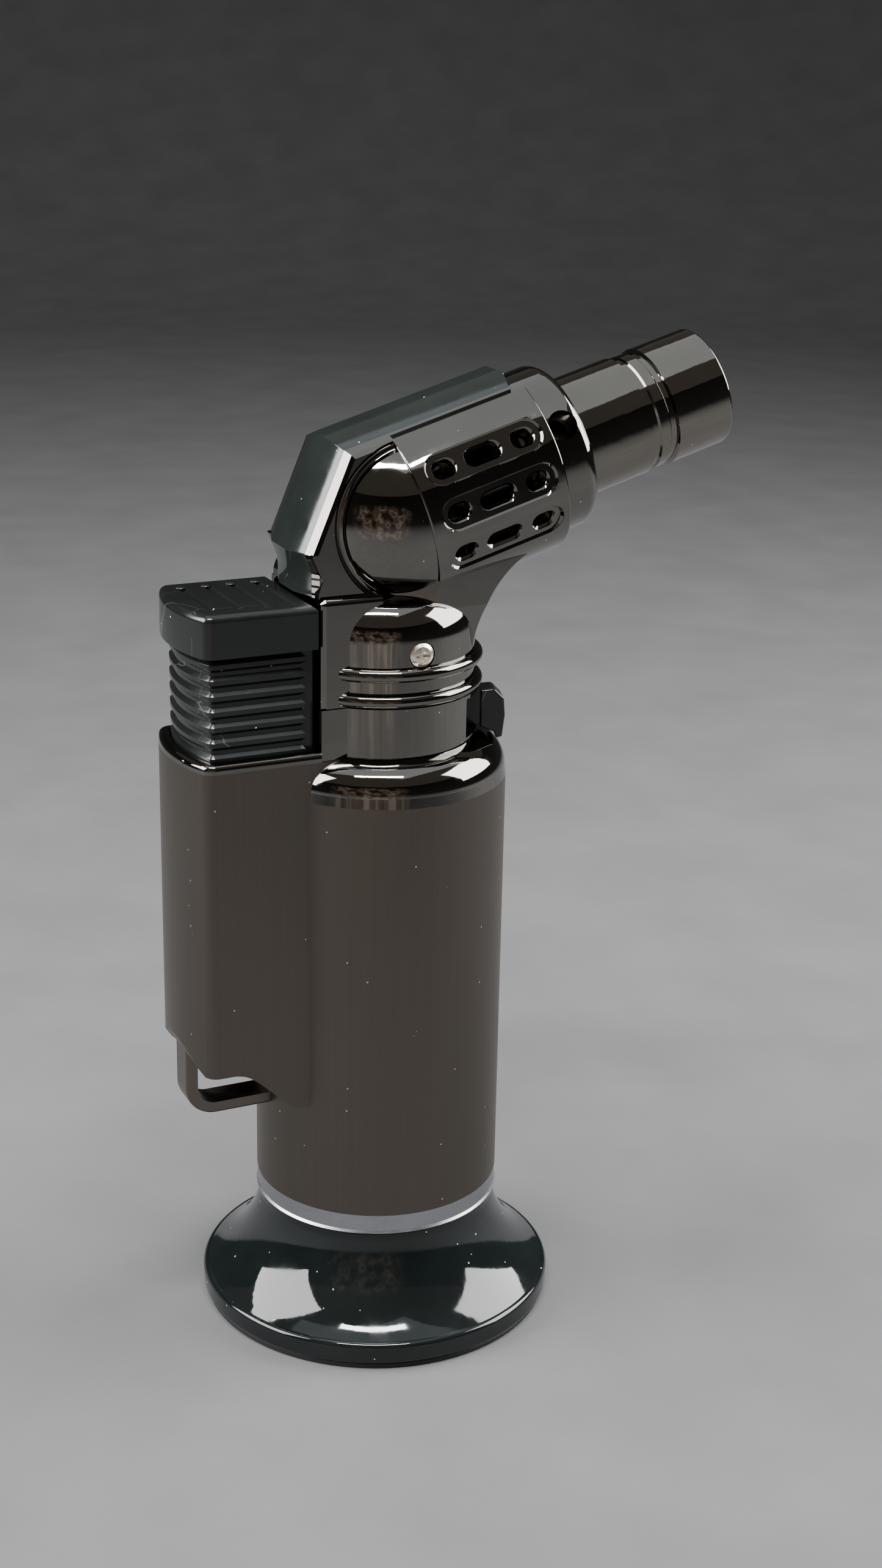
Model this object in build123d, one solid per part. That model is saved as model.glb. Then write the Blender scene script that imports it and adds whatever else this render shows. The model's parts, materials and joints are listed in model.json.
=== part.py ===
from build123d import *
import math
import os

# Standing butane torch. +X is the way the nozzle points, +Z is up, and the origin is the
# centre of the stand's underside, on the axis of the fuel sleeve. All sizes are in mm.

# ---- stand and sleeve ------------------------------------------------------------------
PAD_R = 25.8
PAD_T = 0.9
FILL_HOLE_R = 7.0
FOOT_R = 26.3
FOOT_RIM_TOP = 4.2
FOOT_NECK_R = 17.7
FOOT_FLARE_TOP = 16.0
FOOT_TOP = 17.2
FOOT_WALL = 2.4
FOOT_FLOOR = 2.2
FOOT_SHELF = 14.2
RING_TOP = 20.4
SLEEVE_R = 18.0
SLEEVE_T = 0.9
SLEEVE_TOP = 82.6
SHOULDER_TAPER = 0.16
SHOULDER_SKIRT = 1.4
FOOT_SEAT_R = SLEEVE_R - SLEEVE_T - 1.2

# ---- grip block ------------------------------------------------------------------------
GRIP_HALF = 10.2
GRIP_BACK = -31.6
GRIP_BACK_R = 25.1
GRIP_CORNER = 2.0
GRIP_T = 0.9
GRIP_TOP = 88.2
GRIP_BOTTOM = 43.4
GRIP_FRONT = -8.0
RIM_H = 1.3
LINER_T = 0.6
LINER_FLOOR = 1.6
LINER_LOW = GRIP_BOTTOM + 2.6
LOOP_INSET = 1.0

# ---- neck ------------------------------------------------------------------------------
NECK_R = 13.6
NECK_BORE = 11.2
NECK_FOOT = 88.3
NECK_TOP = 95.4
SLAB_BACK = -13.0
SLAB_HALF = 10.0
LEVER_SLOT_HALF_DEG = 52.0
LEVER_SLOT_LOW = 89.3
LEVER_SLOT_HIGH = 94.9

# ---- head ------------------------------------------------------------------------------
BARREL_TILT = 16.74
HEAD_Z = 119.63
DOME_R = 13.2
DOME_ROUND = 6.2
DOME_TOP = 110.6
BEAD_R = 0.95
BEAD_RING_R = 13.4
BEAD_HEIGHTS = (96.5, 100.1)
WALL_HALF = 9.8
WALL_BACK = -12.8
WALL_TOP = 110.7
WALL_ROUND = 0.9
WALL_EDGE = 0.6
CHEEK_HALF = 8.5
CHEEK_EDGE = 0.5
COVE_RING_R = 10.9
COVE_R = 0.8
SPINE_HALF = 6.4
SPINE_FLAT_HALF = 2.6
SPINE_BEVEL = 1.2
SPINE_LOW = 110.4
SPINE_T = 1.8
BALL_R = 13.3
BALL_S = 1.2
COVER_R = 13.5
COVER_T = 1.0
COVER_START = 1.45
COVER_END = 22.3
TOP_STRIP_HALF = 7.0
WEB_TAPER_DEG = 11.0
WEB_ARC_X = 25.3
WEB_ARC_Z = 101.0
WEB_ARC_R = 15.2
INNER_BARREL_R = 12.4
CAVITY_R = 11.0
THROAT_R = 6.8

# ---- burner ----------------------------------------------------------------------------
COLLAR_R = 11.8
COLLAR_END = 28.3
COLLAR_ROUND = 1.9
NOZZLE_R = 8.6
NOZZLE_BORE = 7.5
NOZZLE_START = 20.5
NOZZLE_END = 52.1
GROOVES = ((39.3, 40.1), (42.1, 42.9))
GROOVE_DEPTH = 0.5
GROOVE_LEAD = 0.25
BAND_R = 8.35
BURNER_R = 5.2
BURNER_BORE = 4.6
BURNER_START = 12.0
BURNER_END = 42.0
JET_START = 9.0
SLOT_ROWS_DEG = (60.0, 87.5, 115.0)
SLOT_S = (6.15, 12.1, 18.2)
SLOT_W = 2.1
SLOT_L = 5.0
SLOT_OBLONG = 0.9
SLOT_FLARE = 0.35
SLOT_FLARE_DEG = 40.0
GROOVE_RECESS = 0.55
GROOVE_MARGIN = 1.1
GROOVE_FLARE = 0.3
AIR_HOLE_R = 2.1
AIR_HOLE_S = 24.9
AIR_HOLE_DEG = (61.0, 180.0, 299.0)
JET_R = 2.4
FLANGE_S = 29.5
ELECTRODE_AT = 6.35
ELECTRODE_DEG = 270.0
ELECTRODE_START = 22.0
ELECTRODE_R = 0.4
INSULATOR_R = 0.9

# ---- moving parts ----------------------------------------------------------------------
BUTTON_TRAVEL = 4.5
CAP_LOW = 104.0
CAP_TOP = 109.9
CAP_HALF = 9.7
CAP_FRONT = -13.3
STEM_HALF = 8.5
STEM_LOW = 88.0
STEM_GUIDE_LOW = 80.0
STEM_FRONT = -13.5
STEM_SLOT_TOP = 102.4
RIB_COUNT = 7
RIB_PITCH = 2.17
RIB_DEPTH = 0.55
STEM_WALL = 1.2
PIEZO_X = -23.8
PIEZO_BOTTOM = 50.0
PIEZO_TOP = 76.0
PLUNGER_R = 2.6
PLUNGER_TOP = 86.0
PIVOT_X = -5.2
PIVOT_Z = 99.0
PIN_R = 1.0
TAIL_X = -20.0
ROCKER_T = 1.6
NOZZLE_NECK_R = 1.85
LEVER_ANGLE = -18.0
LEVER_REACH = 17.6
LEVER_LOW = 87.4
LEVER_HALF = 2.0
LEVER_RING_LOW = 89.5
WHEEL_R = 6.2
VALVE_R = 3.9
VALVE_LOW = 62.0
VALVE_TOP = 95.2
CHAMBER_R = 2.75
CHAMBER_LOW = 83.2
CHAMBER_TOP = 93.2
NOZZLE_FOOT = 85.0
BARB_R = 0.8
HOSE_R = 1.5
HOSE_BEND = 9.0
NOZZLE_LIFT = 1.3
FORK_HALF = 3.4
FORK_TOP = PIVOT_Z + ROCKER_T / 2
PUSHER_R = 1.0
PIN_HALF = 6.5
GUIDE_FRONT = -20.2
PIEZO_BORE_LOW = 60.0
CHASSIS_TOP = 107.0
SCREW_R = 1.0
SCREW_HEAD_R = 1.8
SCREW_X = 0.4
SCREW_Z = 102.7
SCREW_SEAT = 12.2

CLEAR = 0.1
RUNNING = 0.04

TILT = math.radians(BARREL_TILT)
ALONG = Vector(math.cos(TILT), 0, math.sin(TILT))
ABOVE = Vector(-math.sin(TILT), 0, math.cos(TILT))
HEAD = Vector(0, 0, HEAD_Z)

# Local Z runs along the barrel, local X points out of its top, local Y to the -Y side.
BARREL = Plane(origin=HEAD, x_dir=ABOVE, z_dir=ALONG)


# ---- helpers ---------------------------------------------------------------------------
def side_face(points, rounds=0):
    """Closed face in the XZ plane; rounds is one corner radius or one for each corner."""
    wire = FilletPolyline(*points, radius=rounds, close=True)
    return Plane.XZ * make_face(wire)


def slab(points, half, rounds=0):
    """The XZ outline, extruded to half on both sides of the middle plane."""
    return extrude(side_face(points, rounds), amount=half, both=True)


def turned(points, rounds=0):
    """Solid of revolution about Z from (radius, height) corners."""
    return revolve(side_face(points, rounds), Axis.Z)


def tube(outer, inner, low, high):
    return turned([(inner, low), (outer, low), (outer, high), (inner, high)])


def block(x, y, z):
    """Box from its limits along X, Y and Z."""
    size = (x[1] - x[0], y[1] - y[0], z[1] - z[0])
    centre = (sum(x) / 2, sum(y) / 2, sum(z) / 2)
    return Pos(*centre) * Box(*size)


def grip_plan(inset):
    """Plan of the grip block: flat sides, a bowed back and round back corners."""
    half = GRIP_HALF - inset
    radius = GRIP_BACK_R - inset
    centre_x = GRIP_BACK + GRIP_BACK_R
    corner_x = centre_x - math.sqrt(radius ** 2 - half ** 2)
    edges = Curve() + [
        Line((GRIP_FRONT, -half), (corner_x, -half)),
        ThreePointArc((corner_x, -half), (centre_x - radius, 0), (corner_x, half)),
        Line((corner_x, half), (GRIP_FRONT, half)),
        Line((GRIP_FRONT, half), (GRIP_FRONT, -half)),
    ]
    face = make_face(edges)
    back = face.vertices().sort_by(Axis.X)[:2]
    return fillet(back, max(GRIP_CORNER - inset, 0.9))


def grip_prism(inset, low, high):
    return extrude(Pos(0, 0, low) * grip_plan(inset), amount=high - low)


def barrel_tube(outer, inner, start, end):
    return BARREL * tube(outer, inner, start, end)


def barrel_rod(radius, start, end):
    return BARREL * (Pos(0, 0, (start + end) / 2) * Cylinder(radius, end - start))


def barrel_point(s, h):
    """XZ point at distance s along the barrel and h above its axis."""
    point = HEAD + ALONG * s + ABOVE * h
    return (point.X, point.Z)


def spring(radius, wire, low, high, turns, place=Pos(0, 0, 0)):
    """Round wire spring about Z with its wire inside low and high."""
    run = high - low - wire
    path = Helix(pitch=run / turns, height=run, radius=radius)
    section = Plane(origin=path @ 0, z_dir=path % 0) * Circle(wire / 2)
    return place * (Pos(0, 0, low + wire / 2) * sweep(section, path))


# ---- stand -----------------------------------------------------------------------------
def make_foot_pad():
    pad = tube(PAD_R, FILL_HOLE_R, 0, PAD_T)
    outer = pad.edges().group_by(SortBy.LENGTH)[-1]
    return fillet(outer, 0.25)


def make_base_foot():
    """Trumpet-shaped stand, hollow underneath, with a shelf that the tank plugs into."""
    flare_mid = (20.3, 9.3)
    inner_mid = (flare_mid[0] - 1.9, flare_mid[1] - 1.6)
    floor = PAD_T + FOOT_FLOOR
    lip = FOOT_SEAT_R - 1.6
    round_low = 0.7
    round_top = 0.8
    edges = Curve() + [
        Line((FILL_HOLE_R, PAD_T), (FOOT_R - round_low, PAD_T)),
        ThreePointArc((FOOT_R - round_low, PAD_T), (FOOT_R - 0.2, PAD_T + 0.2),
                      (FOOT_R, PAD_T + round_low)),
        Line((FOOT_R, PAD_T + round_low), (FOOT_R, FOOT_RIM_TOP - round_top)),
        ThreePointArc((FOOT_R, FOOT_RIM_TOP - round_top), (FOOT_R - 0.25, FOOT_RIM_TOP - 0.25),
                      (FOOT_R - round_top, FOOT_RIM_TOP)),
        ThreePointArc((FOOT_R - round_top, FOOT_RIM_TOP), flare_mid,
                      (FOOT_NECK_R, FOOT_FLARE_TOP)),
        Line((FOOT_NECK_R, FOOT_FLARE_TOP), (FOOT_NECK_R, FOOT_TOP)),
        Line((FOOT_NECK_R, FOOT_TOP), (FOOT_SEAT_R, FOOT_TOP)),
        Line((FOOT_SEAT_R, FOOT_TOP), (FOOT_SEAT_R, FOOT_SHELF)),
        Line((FOOT_SEAT_R, FOOT_SHELF), (lip, FOOT_SHELF)),
        Line((lip, FOOT_SHELF), (lip, FOOT_SHELF - 1.6)),
        ThreePointArc((lip, FOOT_SHELF - 1.6), inner_mid, (FOOT_R - FOOT_WALL, floor)),
        Line((FOOT_R - FOOT_WALL, floor), (FILL_HOLE_R, floor)),
        Line((FILL_HOLE_R, floor), (FILL_HOLE_R, PAD_T)),
    ]
    return revolve(Plane.XZ * make_face(edges), Axis.Z)


def make_base_ring():
    inner = FOOT_SEAT_R
    lip = 0.35
    return turned([
        (inner, FOOT_TOP),
        (SLEEVE_R - 0.15, FOOT_TOP),
        (SLEEVE_R + 0.1, FOOT_TOP + lip),
        (SLEEVE_R - 0.15, FOOT_TOP + 2 * lip),
        (SLEEVE_R - 0.15, RING_TOP),
        (inner, RING_TOP),
    ])


# ---- sleeve and grip -------------------------------------------------------------------
def shoulder_solid():
    """Cushion-shaped shoulder between the sleeve and the neck."""
    start = (SLEEVE_R - SHOULDER_TAPER, SLEEVE_TOP + SHOULDER_SKIRT)
    bulge = 0.7
    mid_r = NECK_R + bulge * (start[0] - NECK_R)
    mid_z = start[1] + bulge * (NECK_FOOT - start[1])
    edges = Curve() + [
        Line((0, SLEEVE_TOP), (SLEEVE_R, SLEEVE_TOP)),
        Line((SLEEVE_R, SLEEVE_TOP), start),
        ThreePointArc(start, (mid_r, mid_z), (NECK_R, NECK_FOOT)),
        Line((NECK_R, NECK_FOOT), (0, NECK_FOOT)),
        Line((0, NECK_FOOT), (0, SLEEVE_TOP)),
    ]
    return revolve(Plane.XZ * make_face(edges), Axis.Z)


def grip_under():
    """What is cut away under the grip: the side sheets end in an S-curve."""
    low = 30.0
    tuck = GRIP_BACK + LOOP_INSET
    edges = Curve() + [
        Line((-40, low), (-40, GRIP_BOTTOM + 3.4)),
        Line((-40, GRIP_BOTTOM + 3.4), (GRIP_BACK, GRIP_BOTTOM + 3.4)),
        Line((GRIP_BACK, GRIP_BOTTOM + 3.4), (tuck, GRIP_BOTTOM + 1.2)),
        Line((tuck, GRIP_BOTTOM + 1.2), (tuck + 0.6, GRIP_BOTTOM)),
        Line((tuck + 0.6, GRIP_BOTTOM), (-26.5, GRIP_BOTTOM)),
        Spline([(-26.5, GRIP_BOTTOM), (-22.4, 41.6), (-18.6, 37.9), (-15.6, 36.6)],
               tangents=[(1, 0), (1, 0.0)]),
        Line((-15.6, 36.6), (-15.6, low)),
        Line((-15.6, low), (-40, low)),
    ]
    return extrude(Plane.XZ * make_face(edges), amount=GRIP_HALF + 1, both=True)


def make_body_sleeve():
    round_part = tube(SLEEVE_R, SLEEVE_R - SLEEVE_T, RING_TOP, SLEEVE_TOP)
    outer = grip_prism(0, 36.6, GRIP_TOP) - grip_under()
    inner = grip_prism(GRIP_T, 30.0, GRIP_TOP + 1)
    shell = outer - inner
    shell -= Pos(0, 0, SLEEVE_TOP / 2) * Cylinder(SLEEVE_R - SLEEVE_T, SLEEVE_TOP)
    shell -= shoulder_solid()
    shell -= block((GRIP_FRONT - 6, 0), (-30, 30), (NECK_FOOT - 6, GRIP_TOP + 1)) - Pos(
        0, 0, GRIP_TOP) * Cylinder(SLEEVE_R, 30)
    return round_part + shell


def make_grip_rim():
    outer = grip_prism(0, GRIP_TOP, GRIP_TOP + RIM_H)
    top = outer.faces().sort_by(Axis.Z)[-1]
    outer = fillet(top.edges().filter_by_position(Axis.X, -40, GRIP_FRONT - 0.01), 0.8)
    inner = grip_prism(GRIP_HALF - STEM_HALF - 2 * CLEAR, GRIP_TOP - 1, GRIP_TOP + RIM_H + 1)
    rim = outer - inner
    return rim - block((SLAB_BACK, 0), (-20, 20), (GRIP_TOP - 1, GRIP_TOP + RIM_H + 1))


def make_grip_liner():
    low = LINER_LOW
    high = GRIP_TOP
    outside = GRIP_T + RUNNING
    outer = grip_prism(outside, low, high)
    inner = grip_prism(outside + LINER_T, low + LINER_FLOOR, high + 1)
    liner = outer - inner
    liner -= Cylinder(SLEEVE_R + CLEAR, 2 * high)
    liner -= block((SLAB_BACK - CLEAR, 0), (-20, 20), (low - 1, high + 1))
    seat = block((PIEZO_X - 4.2, PIEZO_X + 4.2), (-5.0, 5.0), (low + LINER_FLOOR, PIEZO_BOTTOM))
    return liner + seat


def make_lanyard_loop():
    half = 2.3
    t = 1.7
    back = GRIP_BACK + LOOP_INSET
    low = 34.1
    high = LINER_LOW
    outer = slab([(back, low), (-17, low), (-17, high), (back, high)], half, [4.4, 0, 0, 0])
    inner = slab([(back + t, low + t), (-10, low + t), (-10, 60), (back + t, 60)],
                 half + 1, [2.7, 0, 0, 0])
    loop = outer - inner
    loop -= Cylinder(SLEEVE_R, 2 * high)
    back_wall = grip_prism(GRIP_T, low, high + 1)
    anchor = block((back + t, -24.0), (-half, half), (high - 1.4, high))
    loop = loop + anchor
    keep = loop & (back_wall + block((-40, 0), (-half, half), (low - 1, GRIP_BOTTOM)))
    long_edges = keep.edges().filter_by(GeomType.LINE).filter_by(Axis.X)
    return fillet(long_edges.sort_by(Axis.Z)[:2], 0.4)


# ---- fuel tank -------------------------------------------------------------------------
TANK_R = SLEEVE_R - SLEEVE_T - CLEAR
TANK_T = 1.2
TANK_FLOOR_LOW = 17.0
TANK_FLOOR_TOP = 19.4
TANK_TOP = 73.0
LID_TOP = 76.5
TOWER_R = NECK_BORE - 3 * CLEAR
TOWER_TOP = 89.2
FILL_R = 3.0
FILL_MOUTH_R = 1.6
FILL_CHAMBER_R = 2.2
FILL_LOW = 15.2
FILL_TOP = 27.4
FILL_SEAT = 17.4
FILL_COLLAR_TOP = 19.4
FILL_LID_T = 1.0


def make_fuel_tank():
    inner = TANK_R - TANK_T
    spigot = FOOT_SEAT_R - RUNNING
    skirt = spigot - TANK_T
    boss_r = 5.0
    return turned([
        (FILL_R + RUNNING, TANK_FLOOR_LOW),
        (skirt, TANK_FLOOR_LOW),
        (skirt, FOOT_SHELF),
        (spigot, FOOT_SHELF),
        (spigot, RING_TOP),
        (TANK_R, RING_TOP),
        (TANK_R, TANK_TOP),
        (inner, TANK_TOP),
        (inner, RING_TOP + TANK_T),
        (skirt, RING_TOP + TANK_T),
        (skirt, TANK_FLOOR_TOP),
        (boss_r, TANK_FLOOR_TOP),
        (boss_r, TANK_FLOOR_TOP + 6.0),
        (FILL_R + RUNNING, TANK_FLOOR_TOP + 6.0),
    ])


def make_tank_lid():
    """Lid of the tank with the tower that carries the gas valve."""
    inner = TANK_R - TANK_T
    tower_bore = TOWER_R - 2.2
    return turned([
        (VALVE_R + RUNNING, TANK_TOP - 6.0),
        (VALVE_R + 3.0, TANK_TOP - 6.0),
        (VALVE_R + 3.0, TANK_TOP - 1.6),
        (inner - CLEAR, TANK_TOP - 1.6),
        (inner - CLEAR, TANK_TOP),
        (TANK_R, TANK_TOP),
        (TANK_R, LID_TOP),
        (TOWER_R, LID_TOP),
        (TOWER_R, TOWER_TOP),
        (VALVE_R + RUNNING, TOWER_TOP),
        (VALVE_R + RUNNING, TOWER_TOP - 1.6),
        (tower_bore, TOWER_TOP - 1.6),
        (tower_bore, LID_TOP),
        (VALVE_R + RUNNING, LID_TOP),
    ])


def make_tank_seal():
    inner = TANK_R - TANK_T
    low = TANK_TOP - 2.9
    return tube(inner, inner - 1.2, low, low + 1.2)


def make_fill_valve_body():
    flange_r = FILL_R + 1.4
    flange_top = FILL_LOW + 1.0
    return turned([
        (FILL_MOUTH_R, FILL_LOW),
        (flange_r, FILL_LOW),
        (flange_r, flange_top),
        (FILL_R, flange_top),
        (FILL_R, FILL_TOP),
        (0.8, FILL_TOP),
        (0.8, FILL_TOP - FILL_LID_T),
        (FILL_CHAMBER_R, FILL_TOP - FILL_LID_T),
        (FILL_CHAMBER_R, FILL_SEAT),
        (FILL_MOUTH_R, FILL_SEAT),
    ])


def make_fill_valve_stem():
    """Hollow-point stem that a gas can's tip pushes up."""
    stem_r = FILL_MOUTH_R - RUNNING
    rod_r = 0.7
    return turned([
        (0, FILL_LOW + 0.6),
        (stem_r, FILL_LOW + 0.6),
        (stem_r, FILL_SEAT + CLEAR),
        (FILL_CHAMBER_R - CLEAR, FILL_SEAT + CLEAR),
        (FILL_CHAMBER_R - CLEAR, FILL_COLLAR_TOP),
        (rod_r, FILL_COLLAR_TOP),
        (rod_r, FILL_COLLAR_TOP + 4.8),
        (0, FILL_COLLAR_TOP + 4.8),
    ])


def make_fill_valve_spring():
    gap = 0.05
    return spring(1.45, 0.35, FILL_COLLAR_TOP + gap, FILL_TOP - FILL_LID_T - gap, 6)


def make_fill_valve_seal():
    return tube(FILL_R + 1.2, FILL_R, FILL_LOW + 1.0, TANK_FLOOR_LOW)


# ---- neck ------------------------------------------------------------------------------
def make_neck_collar():
    skirt_r = SLEEVE_R - SLEEVE_T - RUNNING
    skirt_low = LID_TOP + 0.4
    neck = turned([(0, NECK_FOOT), (NECK_R, NECK_FOOT), (NECK_R, NECK_TOP), (0, NECK_TOP)])
    slab_part = block((SLAB_BACK, GRIP_FRONT), (-SLAB_HALF, SLAB_HALF), (GRIP_TOP, NECK_TOP))
    skirt = turned([(0, skirt_low), (skirt_r, skirt_low), (skirt_r, SLEEVE_TOP), (0, SLEEVE_TOP)])
    body = shoulder_solid() + neck + skirt + slab_part
    channel = block((-30, SLAB_BACK), (-GRIP_HALF + GRIP_T, GRIP_HALF - GRIP_T), (70, 100))
    body -= channel
    low_bore = turned([
        (0, skirt_low - 1),
        (skirt_r - 1.4, skirt_low - 1),
        (skirt_r - 1.4, SLEEVE_TOP - 1.6),
        (NECK_BORE, SLEEVE_TOP + 1.4),
        (NECK_BORE, NECK_TOP + 1),
        (0, NECK_TOP + 1),
    ])
    body -= low_bore
    slot = lever_sector(NECK_R + 2, NECK_BORE - 1, LEVER_SLOT_LOW, LEVER_SLOT_HIGH,
                        -LEVER_SLOT_HALF_DEG, LEVER_SLOT_HALF_DEG)
    return body - slot


def lever_sector(outer, inner, low, high, first_deg, last_deg):
    """Part of a ring about Z between two angles from +X."""
    ring = tube(outer, inner, low, high)
    reach = 2.5 * outer
    corners = [(0, 0)]
    steps = 4
    for i in range(steps + 1):
        angle = math.radians(first_deg + (last_deg - first_deg) * i / steps)
        corners.append((reach * math.cos(angle), reach * math.sin(angle)))
    wedge = extrude(Pos(0, 0, low) * make_face(Polyline(*corners, close=True)), amount=high - low)
    return ring & wedge


# ---- head ------------------------------------------------------------------------------
SPINE_BACK = [
    (-14.2, SPINE_LOW),
    (-14.2, 113.4),
    (-15.3, 116.4),
]
FRAME_BACK = [
    (WALL_BACK, SPINE_LOW),
    (WALL_BACK, 111.2),
    (-12.2, 112.9),
    (-13.7, 116.3),
]


def web_edges():
    """Concave front edge of the web, from the barrel's front down to the neck."""
    end = math.radians(74)
    mid = math.radians(37)
    top = (WEB_ARC_X - WEB_ARC_R * math.cos(end), WEB_ARC_Z + WEB_ARC_R * math.sin(end))
    middle = (WEB_ARC_X - WEB_ARC_R * math.cos(mid), WEB_ARC_Z + WEB_ARC_R * math.sin(mid))
    foot = (WEB_ARC_X - WEB_ARC_R, WEB_ARC_Z)
    return top, middle, foot


def head_face(back, top_height, front):
    """Side outline of the head: back line, top line, barrel front and web."""
    top, middle, foot = web_edges()
    front_low = barrel_point(front, -9.0)
    front_top = barrel_point(front, top_height)
    low = (foot[0], NECK_TOP + 0.1)
    points = back + [front_top, front_low, top]
    edges = Curve() + [Line(a, b) for a, b in zip(points[:-1], points[1:])]
    edges += ThreePointArc(top, middle, foot)
    edges += Line(foot, low)
    edges += Line(low, (back[0][0], low[1]))
    edges += Line((back[0][0], low[1]), back[0])
    return Plane.XZ * make_face(edges)


def spine_outer():
    corner = barrel_point(-5.6, 13.5)
    return head_face(SPINE_BACK + [corner], 13.45, COVER_END - 0.9)


def head_blank():
    """The faceted outer form: flat in the middle, bevelled towards its sides."""
    outer = spine_outer()
    core = extrude(outer, amount=SPINE_FLAT_HALF, both=True)
    width = CHEEK_HALF - SPINE_FLAT_HALF - CHEEK_EDGE
    angle = math.degrees(math.atan2(SPINE_BEVEL, SPINE_HALF - SPINE_FLAT_HALF))
    near = extrude(Pos(0, -SPINE_FLAT_HALF, 0) * outer, amount=width, taper=angle)
    cheek = near.faces().sort_by(Axis.Y)[0]
    near += extrude(cheek, amount=CHEEK_EDGE, taper=45)
    far = mirror(near, Plane.XZ)
    return core + near + far - block((-40, WALL_BACK), (-20, 20), (0, SPINE_LOW))


def web_zone():
    """Room that the web fills: it widens upwards from the neck to the barrel."""
    split_z = 108.0
    top_z = 116.5
    points = [(-20, CHEEK_HALF), (-3, CHEEK_HALF), (3.7, 10.5), (15.7, 9.1), (25.5, 8.0)]
    ring = points + [(x, -y) for x, y in reversed(points)]
    plan = make_face(Polyline(*ring, close=True))
    upper = extrude(Pos(0, 0, split_z) * plan, amount=top_z - split_z)
    lower = extrude(Pos(0, 0, split_z) * plan, amount=NECK_TOP - split_z, taper=WEB_TAPER_DEG)
    return upper + lower


def web_solid(front):
    back = FRAME_BACK + [barrel_point(-4.3, 8.0)]
    return extrude(head_face(back, 8.0, front), amount=12, both=True) & web_zone()


def dome_solid():
    dome = turned([
        (0, NECK_TOP + 0.1),
        (DOME_R, NECK_TOP + 0.1),
        (DOME_R, DOME_TOP),
        (0, DOME_TOP),
    ], [0, 0, DOME_ROUND, 0])
    for height in BEAD_HEIGHTS:
        dome += Pos(0, 0, height) * Torus(BEAD_RING_R, BEAD_R)
    return dome & block((WALL_BACK, 20), (-20, 20), (NECK_TOP, 120))


def head_wall():
    """Straight wall behind the dome, with a rounded shelf on top."""
    wall = block((WALL_BACK, -4.0), (-WALL_HALF, WALL_HALF), (NECK_TOP + 0.1, WALL_TOP))
    top = wall.faces().sort_by(Axis.Z)[-1].edges().filter_by(Axis.X)
    wall = fillet(top, WALL_ROUND)
    corners = wall.edges().filter_by(Axis.Z).group_by(Axis.X)[0]
    return chamfer(corners, WALL_EDGE)


def ball_cove():
    """Ring-shaped grooves that set the ball off from the frame on both sides."""
    ring = Rot(90, 0, 0) * Torus(COVE_RING_R, COVE_R)
    centre = HEAD + ALONG * BALL_S
    return [Pos(centre.X, side * CHEEK_HALF, centre.Z) * ring for side in (-1, 1)]


def spine_band():
    """The room that the spine cover takes out of the head's back and top."""
    back = FRAME_BACK + [barrel_point(-4.3, 13.5 - SPINE_T)]
    outer = extrude(spine_outer(), amount=SPINE_HALF, both=True)
    inner = extrude(head_face(back, 13.5 - SPINE_T, COVER_END - 0.9),
                    amount=SPINE_HALF + 1, both=True)
    return (outer - inner) & block((-20, 40), (-SPINE_HALF, SPINE_HALF), (SPINE_LOW, 150))


def head_cavity():
    """Room inside the head: the chassis below, a narrower throat, then the barrel."""
    cavity = barrel_rod(CAVITY_R, 0, 40)
    cavity += Pos(*HEAD) * Sphere(CAVITY_R)
    cavity += Pos(0, 0, (NECK_TOP + HEAD_Z) / 2) * Cylinder(THROAT_R, HEAD_Z - NECK_TOP)
    low = NECK_TOP - 1
    high = CHASSIS_TOP + CLEAR
    cavity += Pos(0, 0, (low + high) / 2) * Cylinder(CAVITY_R, high - low)
    return cavity


def make_head():
    """The polished head, built whole, then split down its middle."""
    elbow = BARREL * Pos(0, 0, COVER_START - 50) * Box(200, 200, 100)
    strip = block((-20, 40), (-TOP_STRIP_HALF, TOP_STRIP_HALF), (90, 150))
    head = head_blank() & (elbow + strip)
    head += web_solid(COVER_END - 0.9)
    head += head_wall()
    head += Pos(*(HEAD + ALONG * BALL_S)) * Sphere(BALL_R) & elbow
    head += barrel_rod(INNER_BARREL_R, BALL_S, COVER_END - 0.9)
    head += dome_solid()
    for groove in ball_cove():
        head -= groove & elbow
    head -= spine_band()
    head -= head_cavity()
    head -= vent_cuts(0.5, CAVITY_R - 2, COVER_R + 2)
    head -= block((WALL_BACK - 3, -8), (-2.2, 2.2), (NECK_TOP - 1, 101.2))
    head -= head_screw_room()
    near = split(head, Plane.XZ, keep=Keep.TOP)
    far = split(head, Plane.XZ, keep=Keep.BOTTOM)
    return near, far


def make_spine_cover():
    return head_blank() & spine_band()


def head_screw_room():
    """Counterbored holes for the screws, one through each side of the dome."""
    room = []
    for side in (-1, 1):
        hole = Rot(90, 0, 0) * Cylinder(SCREW_R, 8)
        pocket = Rot(90, 0, 0) * Cylinder(SCREW_HEAD_R + CLEAR, 4)
        room.append(Pos(SCREW_X, side * 12, SCREW_Z) * hole)
        room.append(Pos(SCREW_X, side * (SCREW_SEAT + 2), SCREW_Z) * pocket)
    return room


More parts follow.
